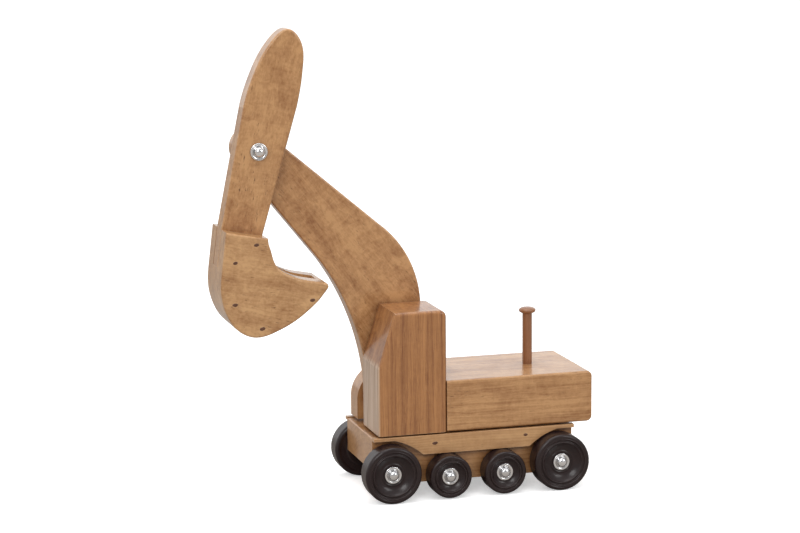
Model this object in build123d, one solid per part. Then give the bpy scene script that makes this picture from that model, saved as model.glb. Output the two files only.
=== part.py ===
"""Wooden toy excavator: an eight-wheeled chassis, a slewing house, a luffing boom, and a stick
with a fixed scoop bucket.

Millimetres. +Z is up, the front is -Y and the left side of the vehicle is +X. Everything is drawn
from the slewing axis, which is the middle of the chassis block, and written out from the origin:
the point on the ground below the middle of the toy's overall length and width.
"""
import os

from build123d import *

INCH = 25.4
SLEW_TO_ORIGIN = 57.7          # the slewing axis lies this far behind the origin

# ---- timber sizes ----
BOARD = 0.75 * INCH            # boom, stick and bucket are all cut from this board
FENDER_THICKNESS = 0.25 * INCH

# ---- chassis block ----
CHASSIS_FRONT = -93.65
CHASSIS_REAR = 90.7
CHASSIS_WIDTH = 3.25 * INCH
CHASSIS_BOTTOM = 13.3
CHASSIS_TOP = 55.6
UNDERCUT_HEIGHT = 12.9         # both lower ends are cut back at 45 degrees

# ---- fenders ----
FENDER_TOP = 56.5
FENDER_BOTTOM = 39.4
FENDER_STRIP = 3.1             # thin strip that reaches over each big wheel
FENDER_FLAT_HALF = 49.0        # half length of the straight lower edge
FENDER_NAILS = ((-38.2, 48.8), (45.4, 50.0))

# ---- wheels and axles ----
AXLE_DIAMETER = 0.25 * INCH
AXLE_BORE = AXLE_DIAMETER + 0.15
WHEEL_INNER = 42.2             # inner face of every wheel
BIG_RADIUS = 1.0 * INCH
BIG_WIDTH = 0.75 * INCH
BIG_HUB_DEPTH = 4.6
SMALL_RADIUS = 0.75 * INCH
SMALL_WIDTH = 17.5
SMALL_HUB_DEPTH = 4.2
SMALL_LIFT = 0.9               # the middle wheels hang just clear of the ground
CAP_RADIUS = 7.6
CAP_DOME_RADIUS = 4.5
CAP_HEIGHT = 4.8
CAP_BRIM = 0.9
CAP_BORE_DEPTH = 2.8           # how far the axle end reaches into its cap
END_PLAY = 0.3                 # gap between a wheel's hub and its cap
AXLES = (
    ("front", -79.2, True),
    ("second", -26.9, False),
    ("third", 23.2, False),
    ("rear", 75.5, True),
)

# ---- house ----
HOUSE_WIDTH = 3.75 * INCH
HOUSE_BOTTOM = 57.9
HOUSE_FRONT = -88.9
HOUSE_REAR = 107.9
CAB_WIDTH = 2.0 * INCH
CAB_REAR = -27.0
CAB_TOP = 166.1
WINDSHIELD_SILL = 117.7
WINDSHIELD_RUN = 15.0          # how far the windshield leans back
ENGINE_TOP = 103.5
SLOT_WIDTH = 20.6
SIDE_ROUND = 28.0
EDGE_ROUND = 1.2
CAB_ROUND = 3.0                # round-over on the outer edges of the cab
ENGINE_ROUND = 2.0

# ---- slewing pivot ----
DISC_RADIUS = 38.0
SLEW_BORE = AXLE_DIAMETER + 0.15
SLEW_THREAD_DEPTH = 34.0

# ---- exhaust peg ----
PEG_Y = 63.2
PEG_DIAMETER = 11 / 32 * INCH
PEG_HEAD_RADIUS = 7.7
PEG_TOP = 155.6
PEG_DEPTH = 12.0

# ---- boom ----
LUFF_Y = -58.0
LUFF_Z = 85.0
BOOM_BASE_RADIUS = 26.0
BOOM_TIP_RADIUS = 18.0
TIP_PIN_Y = -184.2
TIP_PIN_Z = 307.6
PIVOT_PIN_DIAMETER = 0.25 * INCH
PIVOT_BORE = PIVOT_PIN_DIAMETER + 0.15

# ---- stick and bucket ----
STICK_TILT = 12.8              # lean of the stick at rest
STICK_WASHER = 0.8
STICK_END = -104.0             # lower end of the stick, measured from its pin
BUCKET_TOP = -69.0
LIP_THICKNESS = 6.6
BUCKET_NAILS = ((9.6, -77.0), (-5.4, -95.4), (1.9, -130.8), (29.6, -147.2), (68.0, -115.5))
BRAD_DIAMETER = 1.6
BRAD_HEAD = 2.6
BRAD_SET = 0.8                 # how deep the heads are punched below the surface

# ---- places that follow from the sizes above ----
HALF_CHASSIS = CHASSIS_WIDTH / 2
HALF_HOUSE = HOUSE_WIDTH / 2
CAB_INNER = HALF_HOUSE - CAB_WIDTH
SLOT_OUTER = CAB_INNER - SLOT_WIDTH
BOOM_X1 = CAB_INNER - (SLOT_WIDTH - BOARD) / 2
BOOM_X0 = BOOM_X1 - BOARD
STICK_X0 = BOOM_X1 + STICK_WASHER
STICK_X1 = STICK_X0 + BOARD
BIG_AXLE_Z = BIG_RADIUS
SMALL_AXLE_Z = SMALL_RADIUS + SMALL_LIFT


def side_profile(edges):
    """Face in the Y-Z plane from a closed chain of edges drawn as (y, z)."""
    return Plane.YZ * make_face(edges)


def slab(face, x0, x1):
    """Board of the given side profile between two X planes."""
    return Pos(x0, 0, 0) * extrude(face, x1 - x0, dir=(1, 0, 0))


def box_between(x0, x1, y0, y1, z0, z1):
    """Box from its two extreme corners."""
    return Pos((x0 + x1) / 2, (y0 + y1) / 2, (z0 + z1) / 2) * Box(x1 - x0, y1 - y0, z1 - z0)


def rod_x(radius, x0, x1, y, z):
    """Cylinder along X between two X planes."""
    return Pos((x0 + x1) / 2, y, z) * Rot(0, 90, 0) * Cylinder(radius, x1 - x0)


def rod_y(radius, y0, y1, x, z):
    """Cylinder along Y between two Y planes."""
    return Pos(x, (y0 + y1) / 2, z) * Rot(90, 0, 0) * Cylinder(radius, y1 - y0)


def rod_z(radius, z0, z1, x=0.0, y=0.0):
    """Cylinder along Z between two Z planes."""
    return Pos(x, y, (z0 + z1) / 2) * Cylinder(radius, z1 - z0)


def turned_x(half_section):
    """Solid of revolution about X from a half section drawn as (x, radius)."""
    return revolve(make_face(half_section), Axis.X)


def brad_hole(x_surface, into, y, z, length):
    """Cutter for one brad and the punched hole over its head; into is +1 or -1 along X."""
    shank_end = x_surface + into * length
    low, high = sorted((x_surface, shank_end))
    head_end = x_surface + into * (BRAD_SET + 1.0)
    head_low, head_high = sorted((x_surface - into, head_end))
    return rod_x(BRAD_DIAMETER / 2, low, high, y, z) + rod_x(BRAD_HEAD / 2, head_low, head_high, y, z)


def brad(x_surface, into, y, z, length):
    """One brad with its head set below the surface it was driven into."""
    head_start = x_surface + into * BRAD_SET
    head_end = head_start + into * 1.0
    shank_end = x_surface + into * length
    head = rod_x(BRAD_HEAD / 2, *sorted((head_start, head_end)), y, z)
    shank = rod_x(BRAD_DIAMETER / 2, *sorted((head_start, shank_end)), y, z)
    return head + shank


def round_over(part, edges, radius):
    """Round the chosen edges."""
    return fillet(edges, radius) if len(edges) else part


# ---------------------------------------------------------------- chassis
def axle_height(is_big):
    return BIG_AXLE_Z if is_big else SMALL_AXLE_Z


def make_chassis_block():
    knee = CHASSIS_BOTTOM + UNDERCUT_HEIGHT
    outline = Polyline(
        (CHASSIS_FRONT, CHASSIS_TOP), (CHASSIS_FRONT, knee),
        (CHASSIS_FRONT + UNDERCUT_HEIGHT, CHASSIS_BOTTOM),
        (CHASSIS_REAR - UNDERCUT_HEIGHT, CHASSIS_BOTTOM),
        (CHASSIS_REAR, knee), (CHASSIS_REAR, CHASSIS_TOP), close=True,
    )
    block = slab(side_profile(outline), -HALF_CHASSIS, HALF_CHASSIS)
    ends = block.edges().filter_by(Axis.X).group_by(Axis.Z)[-1]
    block = round_over(block, ends, EDGE_ROUND)
    for _, y, is_big in AXLES:
        block -= rod_x(AXLE_DIAMETER / 2, -HALF_CHASSIS - 1, HALF_CHASSIS + 1, y, axle_height(is_big))
    block -= rod_z(SLEW_BORE / 2, CHASSIS_BOTTOM - 1, CHASSIS_TOP + 1)
    block -= rod_z(13.0, CHASSIS_BOTTOM - 1, CHASSIS_BOTTOM + 8.7)
    for sign in (-1, 1):
        for y, z in FENDER_NAILS:
            block -= rod_x(BRAD_DIAMETER / 2, *sorted((sign * (HALF_CHASSIS - 18), sign * HALF_CHASSIS)), y, z)
    return block


def make_fender(sign):
    """Side board nailed to the block, hollowed over each big wheel; sign is the side along X."""
    strip = FENDER_TOP - FENDER_STRIP
    arch_end = 75.0
    arch_mid = (60.5, 47.6)
    flat = FENDER_FLAT_HALF
    outline = (
        Line((CHASSIS_FRONT, FENDER_TOP), (CHASSIS_REAR, FENDER_TOP))
        + Line((CHASSIS_REAR, FENDER_TOP), (CHASSIS_REAR, strip))
        + Line((CHASSIS_REAR, strip), (arch_end, strip))
        + ThreePointArc((arch_end, strip), arch_mid, (flat, FENDER_BOTTOM))
        + Line((flat, FENDER_BOTTOM), (-flat, FENDER_BOTTOM))
        + ThreePointArc((-flat, FENDER_BOTTOM), (-arch_mid[0], arch_mid[1]), (-arch_end, strip))
        + Line((-arch_end, strip), (CHASSIS_FRONT, strip))
        + Line((CHASSIS_FRONT, strip), (CHASSIS_FRONT, FENDER_TOP))
    )
    inner = sign * HALF_CHASSIS
    outer = sign * (HALF_CHASSIS + FENDER_THICKNESS)
    board = slab(side_profile(outline), *sorted((inner, outer)))
    top_outer = board.edges().filter_by(Axis.Y).group_by(Axis.Z)[-1].sort_by(Axis.X)[-1 if sign > 0 else 0]
    board = fillet(top_outer, 1.0)
    for y, z in FENDER_NAILS:
        board -= brad_hole(outer, -sign, y, z, 24.0)
    return board


def make_fender_nails():
    nails = []
    for sign in (-1, 1):
        outer = sign * (HALF_CHASSIS + FENDER_THICKNESS)
        nails += [brad(outer, -sign, y, z, 24.0) for y, z in FENDER_NAILS]
    return Compound(nails)


def make_turntable_disc():
    disc = rod_z(DISC_RADIUS, CHASSIS_TOP, HOUSE_BOTTOM - 0.05)
    return disc - rod_z(SLEW_BORE / 2, CHASSIS_TOP - 1, HOUSE_BOTTOM + 1)


# ---------------------------------------------------------------- wheels
def wheel_half_section(radius, width, hub_depth):
    """Half section of a turned wheel: rounded tyre, a fine ring groove, and a dished hub."""
    shoulder = 0.08 * radius
    groove = 0.80 * radius
    dish = 0.69 * radius
    hub = 0.40 * radius
    hub_face = width - hub_depth
    bore = AXLE_BORE / 2
    return (
        Line((0, bore), (0, radius - shoulder))
        + ThreePointArc((0, radius - shoulder), (0.3 * shoulder, radius - 0.3 * shoulder), (shoulder, radius))
        + Line((shoulder, radius), (width - shoulder, radius))
        + ThreePointArc((width - shoulder, radius), (width - 0.3 * shoulder, radius - 0.3 * shoulder),
                        (width, radius - shoulder))
        + Line((width, radius - shoulder), (width, groove))
        + ThreePointArc((width, groove), (width - 0.8, groove - 0.6), (width, groove - 1.2))
        + Line((width, groove - 1.2), (width, dish))
        + ThreePointArc((width, dish), (hub_face + 1.1, (dish + hub) / 2 + 0.6), (hub_face, hub))
        + Line((hub_face, hub), (hub_face, bore))
        + Line((hub_face, bore), (0, bore))
    )


def make_wheel(side, y, is_big):
    radius = BIG_RADIUS if is_big else SMALL_RADIUS
    width = BIG_WIDTH if is_big else SMALL_WIDTH
    hub_depth = BIG_HUB_DEPTH if is_big else SMALL_HUB_DEPTH
    wheel = turned_x(wheel_half_section(radius, width, hub_depth))
    wheel = Pos(WHEEL_INNER, 0, 0) * wheel
    if side < 0:
        wheel = Rot(0, 0, 180) * wheel
    return Pos(0, y, axle_height(is_big)) * wheel


def hub_face_x(is_big):
    return WHEEL_INNER + (BIG_WIDTH - BIG_HUB_DEPTH if is_big else SMALL_WIDTH - SMALL_HUB_DEPTH)


def cap_half_section():
    """Half section of a pressed-steel axle cap: flat brim, short neck and domed crown."""
    neck = CAP_DOME_RADIUS
    crown = CAP_HEIGHT
    inner = AXLE_DIAMETER / 2
    rise = 2.2
    return (
        Line((0, inner), (0, CAP_RADIUS))
        + Line((0, CAP_RADIUS), (CAP_BRIM, CAP_RADIUS - 0.4))
        + Line((CAP_BRIM, CAP_RADIUS - 0.4), (CAP_BRIM, neck))
        + Line((CAP_BRIM, neck), (crown - rise, neck - 0.3))
        + ThreePointArc((crown - rise, neck - 0.3), (crown - 0.75, 2.6), (crown, 1.0))
        + Line((crown, 1.0), (crown, 0))
        + Line((crown, 0), (CAP_BORE_DEPTH, 0))
        + Line((CAP_BORE_DEPTH, 0), (CAP_BORE_DEPTH, inner))
        + Line((CAP_BORE_DEPTH, inner), (0, inner))
    )


def make_cap(x, y, z, outward):
    """Cap whose brim rests at x and whose crown points along outward (+1 or -1)."""
    cap = turned_x(cap_half_section())
    if outward < 0:
        cap = Rot(0, 0, 180) * cap
    return Pos(x, y, z) * cap


def cap_brim_x(is_big):
    return hub_face_x(is_big) + END_PLAY


def make_axle(y, is_big):
    reach = cap_brim_x(is_big) + CAP_BORE_DEPTH
    return rod_x(AXLE_DIAMETER / 2, -reach, reach, y, axle_height(is_big))


def make_axle_caps():
    caps = []
    for _, y, is_big in AXLES:
        for side in (-1, 1):
            caps.append(make_cap(side * cap_brim_x(is_big), y, axle_height(is_big), side))
    return Compound(caps)


# ---------------------------------------------------------------- house
def make_cab_block():
    sill = (HOUSE_FRONT, WINDSHIELD_SILL)
    brow = (HOUSE_FRONT + WINDSHIELD_RUN, CAB_TOP)
    corner = 6.0
    outline = (
        Line((HOUSE_FRONT, HOUSE_BOTTOM), sill)
        + Line(sill, brow)
        + Line(brow, (CAB_REAR - corner, CAB_TOP))
        + RadiusArc((CAB_REAR - corner, CAB_TOP), (CAB_REAR, CAB_TOP - corner), corner)
        + Line((CAB_REAR, CAB_TOP - corner), (CAB_REAR, HOUSE_BOTTOM))
        + Line((CAB_REAR, HOUSE_BOTTOM), (HOUSE_FRONT, HOUSE_BOTTOM))
    )
    block = slab(side_profile(outline), CAB_INNER, HALF_HOUSE)
    outer_edges = block.faces().sort_by(Axis.X)[-1].edges()
    rounded = [e for e in outer_edges if e.center().Z > HOUSE_BOTTOM + 1 and e.center().Y < CAB_REAR - 1]
    block = round_over(block, rounded, CAB_ROUND)
    block -= rod_x(PIVOT_PIN_DIAMETER / 2, CAB_INNER - 1, CAB_INNER + 20, LUFF_Y, LUFF_Z)
    for z in (74.0, 92.0):
        block -= rod_y(4.8, CAB_REAR - 19, CAB_REAR + 1, CAB_INNER + CAB_WIDTH / 2, z)
    return block


def make_side_block():
    """Short block on the far side of the boom slot, rounded off at its upper front corner."""
    shoulder_z = ENGINE_TOP - SIDE_ROUND
    outline = (
        Line((HOUSE_FRONT, HOUSE_BOTTOM), (HOUSE_FRONT, shoulder_z))
        + RadiusArc((HOUSE_FRONT, shoulder_z), (HOUSE_FRONT + SIDE_ROUND, ENGINE_TOP), SIDE_ROUND)
        + Line((HOUSE_FRONT + SIDE_ROUND, ENGINE_TOP), (CAB_REAR, ENGINE_TOP))
        + Line((CAB_REAR, ENGINE_TOP), (CAB_REAR, HOUSE_BOTTOM))
        + Line((CAB_REAR, HOUSE_BOTTOM), (HOUSE_FRONT, HOUSE_BOTTOM))
    )
    block = slab(side_profile(outline), -HALF_HOUSE, SLOT_OUTER)
    outer_edges = block.faces().sort_by(Axis.X)[0].edges()
    rounded = [e for e in outer_edges if e.center().Z > HOUSE_BOTTOM + 1 and e.center().Y < CAB_REAR - 1]
    block = round_over(block, rounded, ENGINE_ROUND)
    block -= rod_x(PIVOT_PIN_DIAMETER / 2, -HALF_HOUSE - 1, SLOT_OUTER + 1, LUFF_Y, LUFF_Z)
    middle = (SLOT_OUTER - HALF_HOUSE) / 2
    for z in (68.0, 94.0):
        block -= rod_y(4.8, CAB_REAR - 19, CAB_REAR + 1, middle, z)
    return block


def make_engine_block():
    block = box_between(-HALF_HOUSE, HALF_HOUSE, CAB_REAR, HOUSE_REAR, HOUSE_BOTTOM, ENGINE_TOP)
    rear = block.faces().sort_by(Axis.Y)[-1].edges()
    block = round_over(block, rear.filter_by(Axis.X), 5.0)
    sides = [e for e in block.edges().filter_by(Axis.Y) if e.center().Z > ENGINE_TOP - 1]
    block = round_over(block, sides, ENGINE_ROUND)
    block -= rod_z(PEG_DIAMETER / 2, ENGINE_TOP - PEG_DEPTH, ENGINE_TOP + 1, 0, PEG_Y)
    block -= rod_z(AXLE_DIAMETER / 2, HOUSE_BOTTOM - 1, HOUSE_BOTTOM + SLEW_THREAD_DEPTH)
    for x, z in dowel_places():
        block -= rod_y(4.8, CAB_REAR - 1, CAB_REAR + 19, x, z)
    return block


def dowel_places():
    """Where the glue-joint dowels cross from the engine block into the cab and the side block."""
    cab_x = CAB_INNER + CAB_WIDTH / 2
    side_x = (SLOT_OUTER - HALF_HOUSE) / 2
    return ((cab_x, 74.0), (cab_x, 92.0), (side_x, 68.0), (side_x, 94.0))


def make_house_dowels():
    return Compound([rod_y(4.8, CAB_REAR - 18.5, CAB_REAR + 18.5, x, z) for x, z in dowel_places()])


def make_exhaust_peg():
    """Turned peg with a low mushroom head, glued upright in the engine block."""
    radius = PEG_DIAMETER / 2
    head = PEG_HEAD_RADIUS
    base = ENGINE_TOP - PEG_DEPTH
    neck = PEG_TOP - 5.6
    half = (
        Line((0, base), (radius, base))
        + Line((radius, base), (radius, neck))
        + ThreePointArc((radius, neck), (head - 1.0, neck + 1.0), (head, neck + 2.6))
        + ThreePointArc((head, neck + 2.6), (head - 1.6, neck + 4.6), (head - 4.4, PEG_TOP - 0.3))
        + Line((head - 4.4, PEG_TOP - 0.3), (0, PEG_TOP - 0.3))
        + Line((0, PEG_TOP - 0.3), (0, base))
    )
    return Pos(0, PEG_Y, 0) * revolve(Plane.XZ * make_face(half), Axis.Z)


def make_slew_bolt():
    """Lag screw up through the chassis block into the engine block, with a hexagonal head."""
    head_low = CHASSIS_BOTTOM + 2.6
    head_high = head_low + 4.3
    head = Pos(0, 0, head_low) * extrude(RegularPolygon(6.3, 6), head_high - head_low)
    return head + rod_z(AXLE_DIAMETER / 2, head_high - 0.5, HOUSE_BOTTOM + SLEW_THREAD_DEPTH - 1)


def make_slew_washer():
    low = CHASSIS_BOTTOM + 2.6 + 4.3
    ring = rod_z(10.0, low, low + 1.6)
    return ring - rod_z(AXLE_DIAMETER / 2, low - 1, low + 3)


def make_boom_pin():
    return rod_x(PIVOT_PIN_DIAMETER / 2, -HALF_HOUSE + 0.4, CAB_INNER + 19.5, LUFF_Y, LUFF_Z)


# ---------------------------------------------------------------- boom
def make_boom():
    """Board with a straight slim outer half that widens and bends down into the slot."""
    base_front = (LUFF_Y - BOOM_BASE_RADIUS, LUFF_Z + 6)
    base_low = (LUFF_Y, LUFF_Z - BOOM_BASE_RADIUS)
    base_rear = (LUFF_Y + BOOM_BASE_RADIUS, LUFF_Z)
    elbow_low = (-35.0, 158.0)
    elbow_mid = (-46.6, 206.5)
    elbow_high = (-73.0, 237.0)
    belly_high = (-127.0, 207.5)
    belly_mid = (-101.8, 163.0)
    upper_edge_angle = 50.4
    lower_edge_angle = 39.0
    tip = Vector(TIP_PIN_Y, TIP_PIN_Z)
    tip_upper = tip + Vector(BOOM_TIP_RADIUS, 0).rotate(Axis.Z, upper_edge_angle)
    tip_lower = tip - Vector(BOOM_TIP_RADIUS, 0).rotate(Axis.Z, lower_edge_angle)
    tip_far = tip + Vector(BOOM_TIP_RADIUS, 0).rotate(Axis.Z, 135)
    outline = (
        ThreePointArc(tip_lower, tip_far, tip_upper)
        + Line(tip_upper, elbow_high)
        + ThreePointArc(elbow_high, elbow_mid, elbow_low)
        + Line(elbow_low, base_rear)
        + ThreePointArc(base_rear, (LUFF_Y + 18.38, LUFF_Z - 18.38), base_low)
        + ThreePointArc(base_low, (LUFF_Y - 18.9, LUFF_Z - 17.4), base_front)
        + ThreePointArc(base_front, belly_mid, belly_high)
        + Line(belly_high, tip_lower)
    )
    board = slab(side_profile(outline), BOOM_X0, BOOM_X1)
    board = fillet(visible_rim(board, LUFF_Z + 24), 1.6)
    board -= rod_x(PIVOT_BORE / 2, BOOM_X0 - 1, BOOM_X1 + 1, LUFF_Y, LUFF_Z)
    board -= rod_x(PIVOT_PIN_DIAMETER / 2, BOOM_X0 - 1, BOOM_X1 + 1, TIP_PIN_Y, TIP_PIN_Z)
    return board


def visible_rim(board, lowest):
    """Rim edges of both faces of a board whose middle lies above a height."""
    faces = board.faces().sort_by(Axis.X)
    rims = faces[0].edges() + faces[-1].edges()
    return [e for e in rims if e.center().Z > lowest]


def make_stick_pin():
    low = BOOM_X0 - CAP_BORE_DEPTH
    high = STICK_X1 + END_PLAY + CAP_BORE_DEPTH
    return rod_x(PIVOT_PIN_DIAMETER / 2, low, high, TIP_PIN_Y, TIP_PIN_Z)


def make_stick_pin_caps():
    near = make_cap(STICK_X1 + END_PLAY, TIP_PIN_Y, TIP_PIN_Z, 1)
    far = make_cap(BOOM_X0, TIP_PIN_Y, TIP_PIN_Z, -1)
    return Compound([near, far])


def make_stick_washer():
    ring = rod_x(8.0, BOOM_X1, STICK_X0 - 0.15, TIP_PIN_Y, TIP_PIN_Z)
    return ring - rod_x(PIVOT_PIN_DIAMETER / 2, BOOM_X1 - 1, STICK_X0 + 1, TIP_PIN_Y, TIP_PIN_Z)


# ---------------------------------------------------------------- stick and bucket
def stick_plane():
    """Y-Z plane centred on the stick's pin and turned to the stick's lean."""
    return Plane.YZ * Pos(TIP_PIN_Y, TIP_PIN_Z, 0) * Rot(0, 0, -STICK_TILT)


def stick_point(u, v):
    """Place in Y and Z of a point given across (u) and along (v) the stick."""
    place = stick_plane() * Pos(u, v, 0)
    return place.position.Y, place.position.Z


def stick_slab(edges, x0, x1):
    face = stick_plane() * make_face(edges)
    return Pos(x0, 0, 0) * extrude(face, x1 - x0, dir=(1, 0, 0))


BACK_TOP = (-18.6, BUCKET_TOP)
PANEL_BACK_TOP = (-18.37, -71.3)
BACK_JOINT = (-15.1, STICK_END)
STICK_END_FRONT = (17.4, STICK_END)
THROAT_TOP = (18.8, -70.0)
LIP_TIP = (79.6, -103.6)
MOUTH_FRONT = (75.6, -99.2)


def bucket_belly():
    """Outer curve of the bucket from the stick's joint, round the bottom, to the lip."""
    points = (BACK_JOINT, (-12.4, -122.0), (-6.4, -136.2), (8.6, -152.2), (26.0, -155.9),
              (44.0, -147.0), (60.5, -132.6), (72.0, -118.0), LIP_TIP)
    return Spline(*points, tangents=((0.10, -1.0), (0.42, 0.9)))


def bucket_panel_edges():
    """Closed outline of a bucket side."""
    return (
        Line(PANEL_BACK_TOP, BACK_JOINT)
        + bucket_belly()
        + ThreePointArc(LIP_TIP, (79.3, -100.3), MOUTH_FRONT)
        + Spline(MOUTH_FRONT, (53.5, -99.4), (42.0, -97.2), (30.5, -91.5), (23.2, -79.5), THROAT_TOP,
                 tangents=((-1.0, 0.0), (-0.25, 1.0)))
        + Line(THROAT_TOP, PANEL_BACK_TOP)
    )


def make_stick():
    """Tapered board with a rounded head; its lower end is the bucket's mounting tongue."""
    outline = (
        Line(BACK_JOINT, BACK_TOP)
        + Line(BACK_TOP, (-20.9, 34.0))
        + Spline((-20.9, 34.0), (-17.6, 65.0), (-8.6, 93.5), (4.5, 107.4), (17.0, 99.5), (23.6, 77.0),
                 (25.3, 45.0), tangents=((0.0, 1.0), (0.0, -1.0)))
        + Line((25.3, 45.0), (18.2, BUCKET_TOP))
        + Line((18.2, BUCKET_TOP), STICK_END_FRONT)
        + Line(STICK_END_FRONT, BACK_JOINT)
    )
    board = stick_slab(outline, STICK_X0, STICK_X1)
    board = fillet(visible_rim(board, stick_point(0, BUCKET_TOP + 5)[1]), 1.8)
    board -= rod_x(PIVOT_BORE / 2, STICK_X0 - 1, STICK_X1 + 1, TIP_PIN_Y, TIP_PIN_Z)
    return board - bucket_nail_cutters()


def make_bucket_side(sign):
    """Outer side of the bucket; sign is the side along X."""
    inner = STICK_X1 if sign > 0 else STICK_X0
    outer = inner + sign * BOARD
    panel = stick_slab(bucket_panel_edges(), *sorted((inner, outer)))
    face = panel.faces().sort_by(Axis.X)[-1 if sign > 0 else 0]
    panel = fillet(face.edges(), 2.0)
    return panel - bucket_nail_cutters()


def make_bucket_back():
    """Middle piece of the bucket: the back, the floor, and a hollow behind the thin lip."""
    inner_lip = (LIP_TIP[0] - LIP_THICKNESS, MOUTH_FRONT[1])
    hollow_rear = (44.5, -99.4)
    throat_low = (19.2, STICK_END)
    outline = (
        bucket_belly()
        + ThreePointArc(LIP_TIP, (79.3, -100.3), MOUTH_FRONT)
        + Line(MOUTH_FRONT, inner_lip)
        + Spline(inner_lip, (70.5, -107.0), (64.0, -113.5), (55.5, -115.0), (48.3, -109.5), hollow_rear,
                 tangents=((-0.20, -1.0), (-0.25, 1.0)))
        + Line(hollow_rear, (31.5, -94.6))
        + ThreePointArc((31.5, -94.6), (24.6, -97.9), throat_low)
        + Line(throat_low, BACK_JOINT)
    )
    return stick_slab(outline, STICK_X0, STICK_X1) - bucket_nail_cutters()


def bucket_nail_places():
    """Surface, driving direction and place of every brad in the bucket."""
    places = []
    for surface, into in ((STICK_X1 + BOARD, -1), (STICK_X0 - BOARD, 1)):
        places += [(surface, into, *stick_point(u, v)) for u, v in BUCKET_NAILS]
    return places


def bucket_nail_cutters():
    return [brad_hole(surface, into, y, z, BOARD + 9.0) for surface, into, y, z in bucket_nail_places()]


def make_bucket_nails():
    return Compound([brad(surface, into, y, z, BOARD + 9.0) for surface, into, y, z in bucket_nail_places()])


# ---------------------------------------------------------------- write every sub-part
def all_parts():
    parts = {
        "chassis_block": make_chassis_block(),
        "fender_left": make_fender(1),
        "fender_right": make_fender(-1),
        "fender_nails": make_fender_nails(),
        "turntable_disc": make_turntable_disc(),
        "axle_caps": make_axle_caps(),
        "slew_bolt": make_slew_bolt(),
        "slew_washer": make_slew_washer(),
        "cab_block": make_cab_block(),
        "side_block": make_side_block(),
        "engine_block": make_engine_block(),
        "house_dowels": make_house_dowels(),
        "exhaust_peg": make_exhaust_peg(),
        "boom_pin": make_boom_pin(),
        "boom": make_boom(),
        "stick_pin": make_stick_pin(),
        "stick_pin_caps": make_stick_pin_caps(),
        "stick_washer": make_stick_washer(),
        "stick": make_stick(),
        "bucket_side_left": make_bucket_side(1),
        "bucket_side_right": make_bucket_side(-1),
        "bucket_back": make_bucket_back(),
        "bucket_nails": make_bucket_nails(),
    }
    for name, y, is_big in AXLES:
        parts[f"{name}_axle"] = make_axle(y, is_big)
        parts[f"{name}_wheel_left"] = make_wheel(1, y, is_big)
        parts[f"{name}_wheel_right"] = make_wheel(-1, y, is_big)
    return parts


os.makedirs("parts", exist_ok=True)
for node, solid in all_parts().items():
    export_step(Pos(0, SLEW_TO_ORIGIN, 0) * solid, f"parts/{node}.step")
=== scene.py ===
"""Varnished hardwood toy excavator: finishes, turned and pressed pieces, lights and camera.

Metres, in the CAD frame. +Z is up, the front is -Y and the left side of the vehicle is +X.
"""
import math

import bmesh
import bpy
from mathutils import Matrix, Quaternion, Vector


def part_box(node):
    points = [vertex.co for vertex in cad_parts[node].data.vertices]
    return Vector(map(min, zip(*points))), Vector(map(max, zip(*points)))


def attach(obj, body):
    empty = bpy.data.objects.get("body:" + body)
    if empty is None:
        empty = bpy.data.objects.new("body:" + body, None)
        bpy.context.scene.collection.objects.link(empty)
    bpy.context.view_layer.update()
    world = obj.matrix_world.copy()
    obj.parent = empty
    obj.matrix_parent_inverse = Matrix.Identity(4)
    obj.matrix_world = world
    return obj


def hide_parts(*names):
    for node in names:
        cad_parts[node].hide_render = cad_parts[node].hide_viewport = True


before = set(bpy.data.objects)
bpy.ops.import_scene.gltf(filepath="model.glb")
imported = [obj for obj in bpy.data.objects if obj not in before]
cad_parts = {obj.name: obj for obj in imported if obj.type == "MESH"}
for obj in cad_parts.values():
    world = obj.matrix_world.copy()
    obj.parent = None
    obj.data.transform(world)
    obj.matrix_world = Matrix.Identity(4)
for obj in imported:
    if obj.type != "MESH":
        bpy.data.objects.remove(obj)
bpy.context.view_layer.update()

SCENE = bpy.context.scene
MM = 0.001

# ---------------------------------------------------------------- camera
CAMERA_PLACE = Vector((2.0936, -0.6047, 0.5802))
CAMERA_TARGET = Vector((0.0, 0.0026, 0.1985))
CAMERA_ROLL = math.radians(-0.44)
CAMERA_SENSOR = 36.0
CAMERA_LENS = 113.2
CAMERA_NEAR, CAMERA_FAR = 0.05, 200.0


def set_up_camera():
    data = bpy.data.cameras.new("studio_camera")
    data.sensor_width = CAMERA_SENSOR
    data.lens = CAMERA_LENS
    data.clip_start, data.clip_end = CAMERA_NEAR, CAMERA_FAR
    camera = bpy.data.objects.new("studio_camera", data)
    SCENE.collection.objects.link(camera)
    camera.location = CAMERA_PLACE
    camera.rotation_mode = "QUATERNION"
    aim = (CAMERA_TARGET - CAMERA_PLACE).to_track_quat("-Z", "Y")
    camera.rotation_quaternion = aim @ Quaternion((0, 0, 1), CAMERA_ROLL)
    SCENE.camera = camera


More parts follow.
